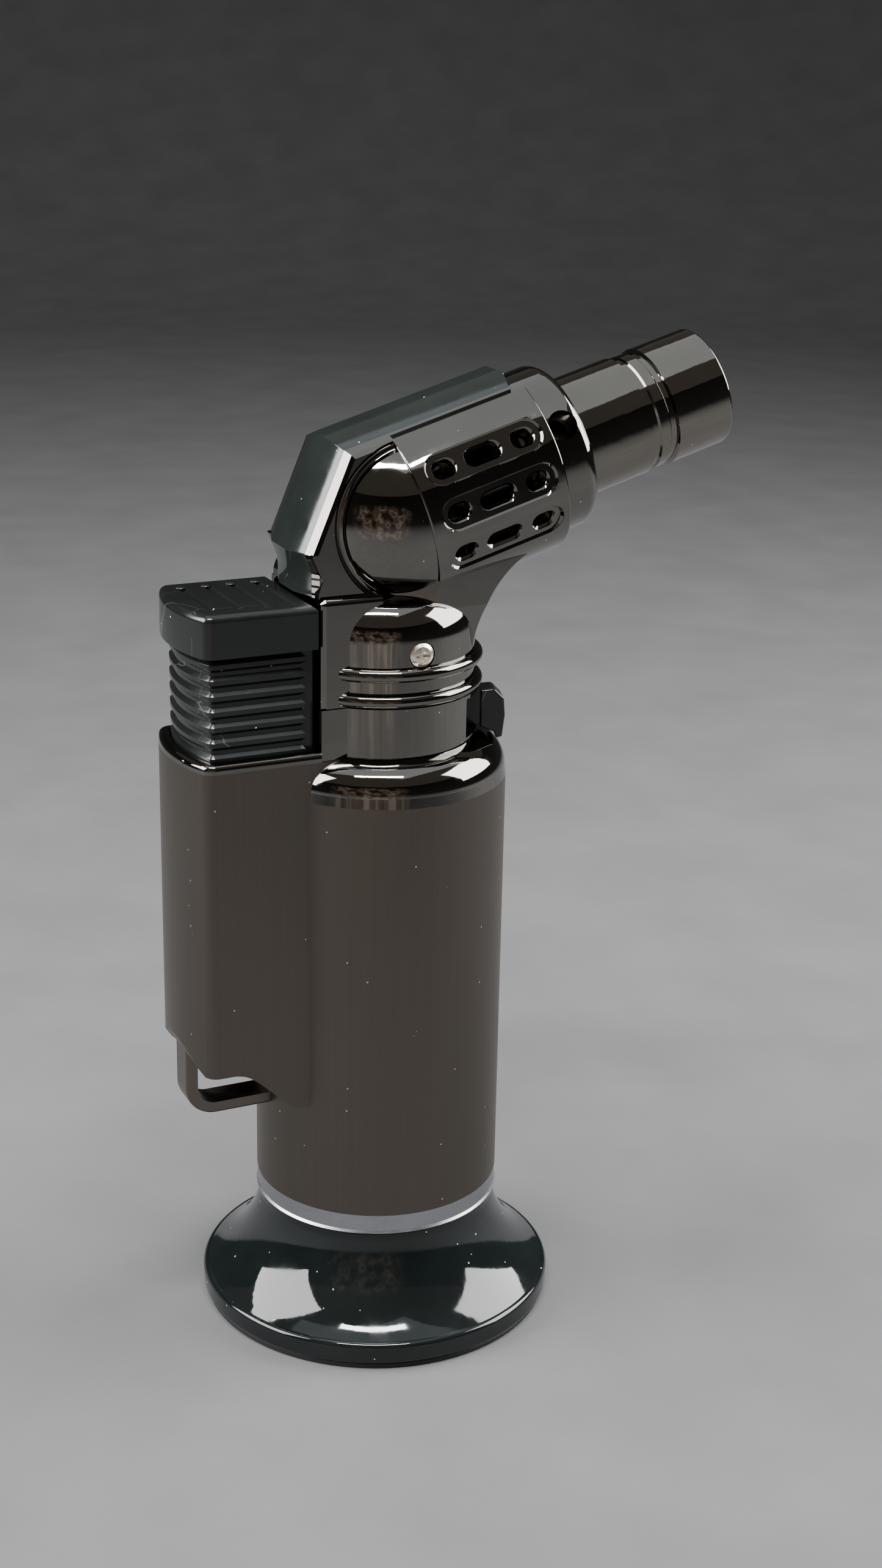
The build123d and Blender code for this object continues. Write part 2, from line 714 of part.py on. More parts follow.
def make_head_screws():
    """Two cross-recess screws that fix the head halves to the chassis."""
    screws = []
    for side in (-1, 1):
        head = turned([
            (0, 0), (SCREW_HEAD_R, 0), (SCREW_HEAD_R, 0.75), (SCREW_HEAD_R - 0.6, 1.2), (0, 1.3)
        ], [0, 0, 0.25, 0.25, 0])
        shank = Pos(0, 0, -2.9) * Cylinder(SCREW_R, 5.8)
        cross = Pos(0, 0, 1.2) * (Box(2.1, 0.5, 1.2) + Box(0.5, 2.1, 1.2) + Cone(0.3, 0.85, 1.2))
        screw = head + shank - cross
        screws.append(Pos(SCREW_X, side * SCREW_SEAT, SCREW_Z) * (Rot(-90 * side, 0, 0) * screw))
    return Compound(children=screws)


def vent_cuts(grow, low_r, high_r):
    """Round and oblong holes in three rows down each side of the barrel."""
    cuts = []
    width = SLOT_W + grow
    for side in (-1, 1):
        for row in SLOT_ROWS_DEG:
            for place in SLOT_S:
                outline = SlotOverall(vent_length(place, width), width)
                slot = Rot(0, 90, 0) * extrude(outline, amount=high_r - low_r)
                cuts.append(BARREL * (Rot(0, 0, side * row) * (Pos(low_r, 0, place) * slot)))
    return cuts


def vent_length(place, width):
    if place == SLOT_S[1]:
        return SLOT_L + width - SLOT_W
    return width + SLOT_OBLONG


def vent_flares():
    """Bevels round the mouths of the vents."""
    cuts = []
    width = SLOT_W + 2 * SLOT_FLARE
    for side in (-1, 1):
        for row in SLOT_ROWS_DEG:
            for place in SLOT_S:
                outline = SlotOverall(vent_length(place, width), width)
                flare = extrude(outline, amount=-1.2 * SLOT_FLARE, taper=SLOT_FLARE_DEG)
                slot = Rot(0, 90, 0) * flare
                spot = Pos(COVER_R - GROOVE_RECESS + 0.02, 0, place)
                cuts.append(BARREL * (Rot(0, 0, side * row) * (spot * slot)))
    return cuts


def cover_grooves():
    """Shallow stadium recess with a bevelled rim round each row of vents."""
    cuts = []
    length = SLOT_S[2] - SLOT_S[0] + SLOT_W + SLOT_OBLONG + 2 * GROOVE_MARGIN
    middle = (SLOT_S[0] + SLOT_S[2]) / 2
    width = SLOT_W + 2 * GROOVE_MARGIN
    slot = extrude(SlotOverall(length, width), amount=3)
    rim = SlotOverall(length + 2 * GROOVE_FLARE, width + 2 * GROOVE_FLARE)
    rim_r = COVER_R - GROOVE_FLARE / 2
    slope = extrude(rim, amount=-GROOVE_FLARE, taper=45)
    for side in (-1, 1):
        for row in SLOT_ROWS_DEG:
            turn = Rot(0, 0, side * row)
            for radius, cut in ((COVER_R - GROOVE_RECESS, slot), (rim_r, slope)):
                cuts.append(BARREL * (turn * (Pos(radius, 0, middle) * (Rot(0, 90, 0) * cut))))
            above = extrude(rim, amount=2)
            cuts.append(BARREL * (turn * (Pos(rim_r, 0, middle) * (Rot(0, 90, 0) * above))))
    return cuts


def make_vent_covers():
    shell = barrel_tube(COVER_R, INNER_BARREL_R, COVER_START, COVER_END)
    rims = shell.edges().filter_by(GeomType.CIRCLE).group_by(SortBy.RADIUS)[-1]
    shell = fillet(rims, 0.3)
    shell -= BARREL * Pos(20, 0, 0) * Box(40, 2 * TOP_STRIP_HALF, 200)
    shell -= web_solid(40.0)
    shell -= dome_solid()
    shell -= cover_grooves()
    shell -= vent_cuts(0, CAVITY_R - 2, COVER_R + 2)
    shell -= vent_flares()
    near = max(split(shell, Plane.XZ, keep=Keep.TOP).solids(), key=lambda s: s.volume)
    far = max(split(shell, Plane.XZ, keep=Keep.BOTTOM).solids(), key=lambda s: s.volume)
    return near, far


# ---- burner ----------------------------------------------------------------------------
def around_barrel(solid, radius, degrees, s):
    """Places a solid with its local X pointing out of the barrel at that angle."""
    return BARREL * (Rot(0, 0, degrees) * (Pos(radius, 0, s) * solid))


def air_holes(radius, reach):
    hole = Rot(0, 90, 0) * Cylinder(AIR_HOLE_R, reach)
    return [around_barrel(hole, radius, angle, AIR_HOLE_S) for angle in AIR_HOLE_DEG]


def make_air_collar():
    seat = COVER_END - 0.9
    collar = turned([
        (NOZZLE_R + RUNNING, seat - 3.0),
        (CAVITY_R - RUNNING, seat - 3.0),
        (CAVITY_R - RUNNING, seat),
        (COLLAR_R, seat),
        (COLLAR_R, COLLAR_END),
        (NOZZLE_R + RUNNING, COLLAR_END),
    ], [0, 0, 0, 0, COLLAR_ROUND, 0])
    return BARREL * collar - air_holes(COLLAR_R, 12)


def make_nozzle_tube():
    nozzle = tube(NOZZLE_R, NOZZLE_BORE, NOZZLE_START, NOZZLE_END)
    mouth = nozzle.edges().filter_by(GeomType.CIRCLE).group_by(Axis.Z)[-1]
    nozzle = fillet(mouth, 0.4)
    nozzle -= turned([
        (NOZZLE_R + 1, GROOVES[0][0] - GROOVE_LEAD - 1),
        (NOZZLE_R, GROOVES[0][0] - GROOVE_LEAD),
        (NOZZLE_R - GROOVE_DEPTH, GROOVES[0][0]),
        (NOZZLE_R - GROOVE_DEPTH, GROOVES[0][1]),
        (BAND_R, GROOVES[0][1] + GROOVE_LEAD),
        (BAND_R, GROOVES[1][0] - GROOVE_LEAD),
        (NOZZLE_R - GROOVE_DEPTH, GROOVES[1][0]),
        (NOZZLE_R - GROOVE_DEPTH, GROOVES[1][1]),
        (NOZZLE_R, GROOVES[1][1] + GROOVE_LEAD),
        (NOZZLE_R + 1, GROOVES[1][1] + GROOVE_LEAD + 1),
    ])
    return BARREL * nozzle - air_holes(NOZZLE_R, 4)


def make_burner_tube():
    """Mixing tube: a closed rear end that holds the jet, and a flange inside the nozzle."""
    burner = turned([
        (JET_R, BURNER_START),
        (BURNER_R, BURNER_START),
        (BURNER_R, FLANGE_S),
        (NOZZLE_BORE - RUNNING, FLANGE_S),
        (NOZZLE_BORE - RUNNING, FLANGE_S + 1.2),
        (BURNER_R, FLANGE_S + 1.2),
        (BURNER_R, BURNER_END),
        (BURNER_BORE, BURNER_END),
        (BURNER_BORE, BURNER_START + 1.6),
        (JET_R, BURNER_START + 1.6),
    ])
    inlet = Rot(0, 90, 0) * Cylinder(1.3, 3)
    for i in range(4):
        burner -= Rot(0, 0, 90 * i + 45) * (Pos(BURNER_R, 0, BURNER_START + 5.5) * inlet)
    burner -= Rot(0, 0, ELECTRODE_DEG) * (Pos(ELECTRODE_AT, 0, FLANGE_S) * Cylinder(INSULATOR_R, 5))
    return BARREL * burner


def make_gas_jet():
    return BARREL * turned([
        (0, JET_START),
        (BARB_R, JET_START),
        (BARB_R, BURNER_START - 0.8),
        (JET_R + 1.0, BURNER_START - 0.8),
        (JET_R + 1.0, BURNER_START),
        (JET_R, BURNER_START),
        (JET_R, BURNER_START + 2.6),
        (0.9, BURNER_START + 4.0),
        (0, BURNER_START + 4.0),
    ])


def make_flame_holder():
    """Perforated disc near the mouth of the mixing tube."""
    low = BURNER_END - 4.0
    holder = tube(BURNER_BORE, 0.6, low, low + 3.0)
    for i in range(6):
        holder -= Rot(0, 0, 60 * i) * (Pos(2.7, 0, low + 1.5) * Cylinder(0.75, 4))
    return BARREL * holder


def make_electrode_insulator():
    length = FLANGE_S + 9.0 - ELECTRODE_START - 1.5
    middle = ELECTRODE_START + 1.5 + length / 2
    sleeve = Cylinder(INSULATOR_R, length) - Cylinder(ELECTRODE_R, length)
    return BARREL * (Rot(0, 0, ELECTRODE_DEG) * (Pos(ELECTRODE_AT, 0, middle) * sleeve))


def make_electrode():
    """Spark wire that turns in towards the middle in front of the burner."""
    turn = BURNER_END + 3.0
    path = FilletPolyline(
        (ELECTRODE_AT, 0, ELECTRODE_START),
        (ELECTRODE_AT, 0, turn),
        (ELECTRODE_AT - 3.2, 0, turn + 1.2),
        radius=1.2,
    )
    wire = sweep(Plane(origin=path @ 0, z_dir=path % 0) * Circle(ELECTRODE_R), path)
    return BARREL * (Rot(0, 0, ELECTRODE_DEG) * wire)


# ---- gas valve -------------------------------------------------------------------------
def make_valve_body():
    return turned([
        (0, VALVE_LOW),
        (VALVE_R - 1.2, VALVE_LOW),
        (VALVE_R, VALVE_LOW + 1.2),
        (VALVE_R, VALVE_TOP),
        (NOZZLE_NECK_R + RUNNING, VALVE_TOP),
        (NOZZLE_NECK_R + RUNNING, CHAMBER_TOP),
        (CHAMBER_R, CHAMBER_TOP),
        (CHAMBER_R, CHAMBER_LOW),
        (0, CHAMBER_LOW),
    ])


def make_valve_seals():
    """Two rings in the tank lid, above and below the lid's wall."""
    seals = []
    for low in (TANK_TOP - 7.2, LID_TOP + 0.02):
        seals.append(tube(VALVE_R + 1.2, VALVE_R, low, low + 1.15))
    return Compound(children=seals)


def make_valve_nozzle():
    """Hollow gas outlet that the rocker's fork lifts."""
    foot_r = CHAMBER_R - 2 * CLEAR
    foot_top = NOZZLE_FOOT + 1.1
    return turned([
        (0, NOZZLE_FOOT),
        (foot_r, NOZZLE_FOOT),
        (foot_r, foot_top),
        (NOZZLE_NECK_R, foot_top),
        (NOZZLE_NECK_R, FORK_TOP + 0.2),
        (FORK_HALF - 0.4, FORK_TOP + 0.2),
        (FORK_HALF - 0.4, FORK_TOP + 1.2),
        (BARB_R, FORK_TOP + 1.2),
        (BARB_R, FORK_TOP + 5.6),
        (0, FORK_TOP + 5.6),
    ])


def make_valve_spring():
    """Spring in the valve's chamber that holds the nozzle down."""
    gap = 0.05
    radius = (NOZZLE_NECK_R + CHAMBER_R) / 2
    return spring(radius, 0.45, NOZZLE_FOOT + 1.1 + gap, CHAMBER_TOP - gap, 5)


def make_gas_hose():
    low = (0, 0, FORK_TOP + 1.2 + NOZZLE_LIFT + 0.15)
    end = HEAD + ALONG * (BURNER_START - 1.0)
    path = FilletPolyline(low, tuple(HEAD), tuple(end), radius=HOSE_BEND)
    section = Plane(origin=path @ 0, z_dir=path % 0)
    return sweep(section * Circle(HOSE_R), path) - sweep(section * Circle(BARB_R + RUNNING), path)


def make_regulator_wheel():
    wheel = tube(WHEEL_R, VALVE_R + RUNNING, LEVER_RING_LOW, LEVER_RING_LOW + 2.0)
    notch = Cylinder(0.35, 4)
    for i in range(16):
        wheel -= Rot(0, 0, 22.5 * i) * (Pos(WHEEL_R, 0, LEVER_RING_LOW + 1.0) * notch)
    return wheel


def make_flame_lever():
    """Ring round the regulator with an arm through the neck's slot and a thumb block."""
    ring = tube(NECK_BORE - 3 * CLEAR, WHEEL_R, LEVER_RING_LOW, LEVER_RING_LOW + 2.0)
    arm = block((NECK_BORE - 2.0, NECK_R + 0.9), (-1.5, 1.5),
                (LEVER_RING_LOW, LEVER_SLOT_HIGH - 0.4))
    inner = NECK_R + 0.45
    tip = LEVER_REACH
    top = LEVER_SLOT_HIGH - 0.4
    shape = [
        (inner, LEVER_SLOT_LOW - 0.2),
        (tip - 1.5, LEVER_SLOT_LOW - 1.0),
        (tip - 1.2, LEVER_LOW),
        (tip - 0.35, LEVER_LOW + 0.2),
        (tip, LEVER_LOW + 3.4),
        (tip - 0.2, top - 1.2),
        (tip - 1.6, top + 0.2),
        (inner, top),
    ]
    thumb = slab(shape, LEVER_HALF, [0, 0.2, 0.2, 0.3, 0.8, 0.6, 0.8, 0.2])
    ends = thumb.faces().sort_by(Axis.Y)
    thumb = fillet(ends[0].edges() + ends[-1].edges(), 0.25)
    lever = ring + arm + thumb
    return Rot(0, 0, LEVER_ANGLE) * lever


# ---- chassis and rocker ----------------------------------------------------------------
def make_inner_chassis():
    chassis = tube(CAVITY_R - CLEAR, VALVE_R + 3 * CLEAR, NECK_TOP + 0.1, CHASSIS_TOP)
    chassis -= block((-CAVITY_R - 1, VALVE_R), (-FORK_HALF - 0.3, FORK_HALF + 0.3),
                     (NECK_TOP - 1, FORK_TOP + 3.4))
    chassis -= Pos(PIVOT_X, 0, PIVOT_Z) * (Rot(90, 0, 0) * Cylinder(PIN_R, 2 * PIN_HALF))
    for side in (-1, 1):
        pilot = Rot(90, 0, 0) * Cylinder(SCREW_R, 12)
        chassis -= Pos(SCREW_X, side * (SCREW_SEAT + 0.2), SCREW_Z) * pilot
    return chassis


def make_lever_pin():
    return Pos(PIVOT_X, 0, PIVOT_Z) * (Rot(90, 0, 0) * Cylinder(PIN_R, 2 * PIN_HALF))


def make_rocker_lever():
    low = PIVOT_Z - ROCKER_T / 2
    high = PIVOT_Z + ROCKER_T / 2
    tail = block((TAIL_X - 0.6, PIVOT_X), (-1.5, 1.5), (low, high))
    yoke = block((PIVOT_X - 2.2, -0.6), (-FORK_HALF, FORK_HALF), (low, high))
    hub = Pos(PIVOT_X, 0, PIVOT_Z) * (Rot(90, 0, 0) * Cylinder(PIN_R + 0.9, 2 * FORK_HALF))
    rocker = tail + yoke + hub
    rocker -= Pos(PIVOT_X, 0, PIVOT_Z) * (Rot(90, 0, 0) * Cylinder(PIN_R + RUNNING, 20))
    throat = NOZZLE_NECK_R + 0.25
    rocker -= block((-throat, 5), (-throat, throat), (low - 1, high + 1))
    return rocker


# ---- button and igniter ----------------------------------------------------------------
def stem_prism(inset, low, high, front):
    prism = grip_prism(GRIP_HALF - STEM_HALF + inset, low, high)
    return prism & block((-40, front), (-20, 20), (low - 1, high + 1))


def make_button():
    """Cap and ribbed stem in one moulding, hollow inside."""
    cap = grip_prism(GRIP_HALF - CAP_HALF, CAP_LOW, CAP_TOP)
    cap &= block((-40, CAP_FRONT), (-20, 20), (CAP_LOW - 1, CAP_TOP + 1))
    upper = cap.faces().sort_by(Axis.Z)[-1].edges()
    cap = fillet(upper, 1.0)
    for i in range(4):
        groove = Rot(90, 0, 0) * Cylinder(0.7, 2 * CAP_HALF - 4)
        cap -= Pos(-27.0 + 3.6 * i, 0, CAP_TOP + 0.4) * groove
    core = stem_prism(RIB_DEPTH, STEM_LOW, CAP_LOW, STEM_FRONT)
    guide = stem_prism(RIB_DEPTH, STEM_GUIDE_LOW, STEM_LOW, GUIDE_FRONT)
    button = cap + core + guide
    for i in range(RIB_COUNT):
        low = STEM_LOW + 0.75 + RIB_PITCH * i
        rib = stem_prism(0, low, low + RIB_PITCH - 0.55, STEM_FRONT - 1.2)
        ends = rib.faces().filter_by(Axis.Z).edges()
        button += chamfer(ends, RIB_DEPTH - 0.05)
    hollow = stem_prism(STEM_WALL + RIB_DEPTH, STEM_GUIDE_LOW - 1, CAP_LOW - 1.0,
                        STEM_FRONT - STEM_WALL)
    button -= hollow
    button -= block((STEM_FRONT - 3, STEM_FRONT + 1), (-2.6, 2.6), (STEM_LOW - 1, STEM_SLOT_TOP))
    column = block((PIEZO_X - 2.5, PIEZO_X + 2.5), (-2.5, 2.5), (PLUNGER_TOP, CAP_LOW))
    pusher_z = FORK_TOP + 0.1 + PUSHER_R
    pusher = block((TAIL_X - PUSHER_R, TAIL_X + PUSHER_R), (-2.5, 2.5), (pusher_z, CAP_LOW))
    pusher += Pos(TAIL_X, 0, pusher_z) * (Rot(90, 0, 0) * Cylinder(PUSHER_R, 5))
    return button + column + pusher


def make_piezo_body():
    body = block((PIEZO_X - 3.6, PIEZO_X + 3.6), (-3.8, 3.8), (PIEZO_BOTTOM, PIEZO_TOP))
    body = fillet(body.edges().filter_by(Axis.Z), 0.8)
    depth = PIEZO_TOP - PIEZO_BORE_LOW
    bore = Cylinder(PLUNGER_R + RUNNING, depth + 1)
    return body - Pos(PIEZO_X, 0, PIEZO_BORE_LOW + (depth + 1) / 2) * bore


def make_piezo_plunger():
    head_low = PLUNGER_TOP - 1.6
    plunger = turned([
        (0, PIEZO_BORE_LOW + BUTTON_TRAVEL + 0.6),
        (PLUNGER_R, PIEZO_BORE_LOW + BUTTON_TRAVEL + 0.6),
        (PLUNGER_R, head_low),
        (PLUNGER_R + 1.0, head_low),
        (PLUNGER_R + 1.0, PLUNGER_TOP),
        (0, PLUNGER_TOP),
    ])
    return Pos(PIEZO_X, 0, 0) * plunger


def make_piezo_spring():
    gap = 0.05
    high = PLUNGER_TOP - 1.6 - gap
    return spring(PLUNGER_R + 0.75, 0.6, PIEZO_TOP + gap, high, 4, Pos(PIEZO_X, 0, 0))


# ---- all pieces ------------------------------------------------------------------------
def make_parts():
    head_near, head_far = make_head()
    cover_near, cover_far = make_vent_covers()
    return {
        "foot_pad": make_foot_pad(),
        "base_foot": make_base_foot(),
        "base_ring": make_base_ring(),
        "body_sleeve": make_body_sleeve(),
        "grip_rim": make_grip_rim(),
        "grip_liner": make_grip_liner(),
        "lanyard_loop": make_lanyard_loop(),
        "fuel_tank": make_fuel_tank(),
        "tank_lid": make_tank_lid(),
        "tank_seal": make_tank_seal(),
        "fill_valve_body": make_fill_valve_body(),
        "fill_valve_stem": make_fill_valve_stem(),
        "fill_valve_spring": make_fill_valve_spring(),
        "fill_valve_seal": make_fill_valve_seal(),
        "neck_collar": make_neck_collar(),
        "head_shell_right": head_near,
        "head_shell_left": head_far,
        "head_screws": make_head_screws(),
        "spine_cover": make_spine_cover(),
        "vent_cover_right": cover_near,
        "vent_cover_left": cover_far,
        "air_collar": make_air_collar(),
        "nozzle_tube": make_nozzle_tube(),
        "burner_tube": make_burner_tube(),
        "gas_jet": make_gas_jet(),
        "flame_holder": make_flame_holder(),
        "electrode_insulator": make_electrode_insulator(),
        "electrode": make_electrode(),
        "valve_body": make_valve_body(),
        "valve_seals": make_valve_seals(),
        "valve_nozzle": make_valve_nozzle(),
        "valve_spring": make_valve_spring(),
        "gas_hose": make_gas_hose(),
        "regulator_wheel": make_regulator_wheel(),
        "flame_lever": make_flame_lever(),
        "inner_chassis": make_inner_chassis(),
        "lever_pin": make_lever_pin(),
        "rocker_lever": make_rocker_lever(),
        "button": make_button(),
        "piezo_body": make_piezo_body(),
        "piezo_plunger": make_piezo_plunger(),
        "piezo_spring": make_piezo_spring(),
    }


def main():
    os.makedirs("parts", exist_ok=True)
    for name, solid in make_parts().items():
        export_step(solid, f"parts/{name}.step")


main()
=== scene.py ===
import json
import math

import bmesh
import bpy
from mathutils import Matrix, Vector


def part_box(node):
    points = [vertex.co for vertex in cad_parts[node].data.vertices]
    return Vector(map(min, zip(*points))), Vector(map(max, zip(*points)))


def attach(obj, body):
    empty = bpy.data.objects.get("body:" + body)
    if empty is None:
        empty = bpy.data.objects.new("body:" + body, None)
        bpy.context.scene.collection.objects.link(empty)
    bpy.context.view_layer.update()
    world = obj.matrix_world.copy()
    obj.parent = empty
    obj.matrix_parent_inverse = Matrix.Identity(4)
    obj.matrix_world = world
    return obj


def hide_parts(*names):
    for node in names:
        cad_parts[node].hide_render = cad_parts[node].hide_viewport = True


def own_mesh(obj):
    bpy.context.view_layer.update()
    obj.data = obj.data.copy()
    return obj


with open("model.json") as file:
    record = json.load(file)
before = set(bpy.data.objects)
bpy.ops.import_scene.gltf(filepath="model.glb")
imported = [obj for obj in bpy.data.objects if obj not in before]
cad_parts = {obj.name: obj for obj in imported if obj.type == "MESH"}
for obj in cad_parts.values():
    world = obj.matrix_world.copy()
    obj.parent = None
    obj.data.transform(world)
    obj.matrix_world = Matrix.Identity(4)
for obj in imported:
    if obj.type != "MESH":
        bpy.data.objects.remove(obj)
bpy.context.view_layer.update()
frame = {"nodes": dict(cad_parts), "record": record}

NODES = frame["nodes"]


# ---- node helpers ----------------------------------------------------------------------
def new_material(name):
    mat = bpy.data.materials.new(name)
    mat.use_nodes = True
    tree = mat.node_tree
    shader = tree.nodes["Principled BSDF"]
    return mat, tree, shader


def add(tree, kind, **values):
    node = tree.nodes.new(kind)
    for key, value in values.items():
        setattr(node, key, value)
    return node


def coords(tree, scale):
    place = add(tree, "ShaderNodeTexCoord")
    mapping = add(tree, "ShaderNodeMapping")
    mapping.inputs["Scale"].default_value = scale
    tree.links.new(place.outputs["Object"], mapping.inputs["Vector"])
    return mapping.outputs["Vector"]


def noise(tree, scale, detail=3.0, rough=0.5, stretch=(1, 1, 1)):
    node = add(tree, "ShaderNodeTexNoise")
    node.inputs["Scale"].default_value = scale
    node.inputs["Detail"].default_value = detail
    node.inputs["Roughness"].default_value = rough
    tree.links.new(coords(tree, stretch), node.inputs["Vector"])
    return node.outputs["Fac"]


def ramp(tree, source, stops):
    node = add(tree, "ShaderNodeValToRGB")
    elements = node.color_ramp.elements
    while len(elements) < len(stops):
        elements.new(0.5)
    for element, (place, colour) in zip(elements, stops):
        element.position = place
        element.color = colour if len(colour) == 4 else (*colour, 1)
    tree.links.new(source, node.inputs["Fac"])
    return node.outputs["Color"]


def span(tree, source, low, high, to_low, to_high):
    node = add(tree, "ShaderNodeMapRange")
    node.inputs["From Min"].default_value = low
    node.inputs["From Max"].default_value = high
    node.inputs["To Min"].default_value = to_low
    node.inputs["To Max"].default_value = to_high
    tree.links.new(source, node.inputs["Value"])
    return node.outputs["Result"]


def bump(tree, height, strength, distance, normal=None):
    node = add(tree, "ShaderNodeBump")
    node.inputs["Strength"].default_value = strength
    node.inputs["Distance"].default_value = distance
    tree.links.new(height, node.inputs["Height"])
    if normal is not None:
        tree.links.new(normal, node.inputs["Normal"])
    return node.outputs["Normal"]


def mixed(tree, factor, first, second):
    """Colour mix; first is a socket or a colour, second is a colour."""
    node = add(tree, "ShaderNodeMix", data_type="RGBA")
    tree.links.new(factor, node.inputs[0])
    if hasattr(first, "links"):
        tree.links.new(first, node.inputs[6])
    else:
        node.inputs[6].default_value = (*first, 1)
    node.inputs[7].default_value = (*second, 1)
    return node.outputs[2]


def maths(tree, operation, first, second):
    node = add(tree, "ShaderNodeMath", operation=operation)
    for socket, value in zip(node.inputs, (first, second)):
        if hasattr(value, "links"):
            tree.links.new(value, socket)
        else:
            socket.default_value = value
    return node.outputs[0]


def specks(tree, scale, share, radius):
    """Mask of a few small dots: dust that has settled on the surface."""
    node = add(tree, "ShaderNodeTexVoronoi")
    node.inputs["Scale"].default_value = scale
    tree.links.new(coords(tree, (1, 1, 1)), node.inputs["Vector"])
    parts = add(tree, "ShaderNodeSeparateColor")
    tree.links.new(node.outputs["Color"], parts.inputs["Color"])
    near = maths(tree, "LESS_THAN", node.outputs["Distance"], radius)
    chosen = maths(tree, "LESS_THAN", parts.outputs["Red"], share)
    return maths(tree, "MULTIPLY", near, chosen)


def scratches(tree, scale, width, stretch):
    """Mask of hairlines along the borders of stretched, warped cells."""
    node = add(tree, "ShaderNodeTexVoronoi", feature="DISTANCE_TO_EDGE")
    node.inputs["Scale"].default_value = scale
    warp = add(tree, "ShaderNodeTexNoise")
    warp.inputs["Scale"].default_value = scale * 0.6
    spot = coords(tree, stretch)
    tree.links.new(spot, warp.inputs["Vector"])
    push = add(tree, "ShaderNodeVectorMath", operation="MULTIPLY_ADD")
    tree.links.new(warp.outputs["Color"], push.inputs[0])
    push.inputs[1].default_value = (0.02, 0.02, 0.02)
    tree.links.new(spot, push.inputs[2])
    tree.links.new(push.outputs["Vector"], node.inputs["Vector"])
    line = maths(tree, "LESS_THAN", node.outputs["Distance"], width)
    patch = noise(tree, scale * 1.3, 2, 0.5)
    return maths(tree, "MULTIPLY", line, maths(tree, "GREATER_THAN", patch, 0.55))


DUST = (0.55, 0.56, 0.54)
DUST_SCALE = 450


def chrome(name, tint, rough, ripple=0.00004):
    """Dark bright-nickel plating on moulded plastic: faint ripples and a little haze."""
    mat, tree, shader = new_material(name)
    shader.inputs["Metallic"].default_value = 1.0
    tone = noise(tree, 90, 4, 0.6)
    colour = ramp(tree, tone, [(0.3, tuple(c * 0.9 for c in tint)), (0.7, tint)])
    tree.links.new(mixed(tree, specks(tree, DUST_SCALE, 0.5, 0.055), colour, DUST),
                   shader.inputs["Base Color"])
    smear = noise(tree, 260, 5, 0.65, (1, 1, 0.6))
    tree.links.new(span(tree, smear, 0.4, 0.8, rough, rough + 0.06), shader.inputs["Roughness"])
    wave = noise(tree, 330, 2, 0.4)
    pit = noise(tree, 900, 2, 0.5)
    first = bump(tree, wave, 0.3, ripple)
    tree.links.new(bump(tree, pit, 0.12, 0.00001, first), shader.inputs["Normal"])
    return mat


def brushed(name, tint, rough, streak=(3200, 3200, 25), contrast=0.06, dust=0.0):
    """Metal with fine hairlines; streak is the hairlines' frequency along X, Y and Z."""
    mat, tree, shader = new_material(name)
    shader.inputs["Metallic"].default_value = 1.0
    shader.inputs["Anisotropic"].default_value = 0.5
    lines = noise(tree, 1.0, 5, 0.7, streak)
    cloud = noise(tree, 38, 3, 0.5, (1, 1, 0.35))
    colour = ramp(tree, lines, [(0.3, tuple(c * (1 - contrast) for c in tint)),
                                (0.7, tuple(c * (1 + contrast) for c in tint))])
    shade = span(tree, cloud, 0.3, 0.7, 0.0, 0.12)
    colour = mixed(tree, shade, colour, tuple(c * 0.55 for c in tint))
    if dust:
        colour = mixed(tree, specks(tree, DUST_SCALE, dust, 0.06), colour, DUST)
    tree.links.new(colour, shader.inputs["Base Color"])
    tree.links.new(span(tree, lines, 0.3, 0.7, rough - 0.04, rough + 0.06),
                   shader.inputs["Roughness"])
    tree.links.new(bump(tree, lines, 0.2, 0.00002), shader.inputs["Normal"])
    return mat


def plastic(name, tint, rough, grain=900, depth=0.00002, worn=0.0, dust=0.0):
    """Moulded plastic: uneven gloss, a faint skin, and optional scratches and dust."""
    mat, tree, shader = new_material(name)
    tone = noise(tree, 70, 4, 0.6)
    colour = ramp(tree, tone, [(0.3, tint), (0.75, tuple(c * 1.4 + 0.002 for c in tint))])
    smear = noise(tree, 240, 5, 0.6)
    gloss = span(tree, smear, 0.35, 0.8, rough, rough + 0.1)
    if worn:
        lines = scratches(tree, 45, 0.0025, (1, 1.7, 0.7))
        colour = mixed(tree, maths(tree, "MULTIPLY", lines, worn), colour, (0.35, 0.36, 0.36))
    if dust:
        colour = mixed(tree, specks(tree, DUST_SCALE, dust, 0.06), colour, DUST)
    tree.links.new(colour, shader.inputs["Base Color"])
    tree.links.new(gloss, shader.inputs["Roughness"])
    skin = noise(tree, grain, 3, 0.5)
    tree.links.new(bump(tree, skin, 0.2, depth), shader.inputs["Normal"])
    return mat


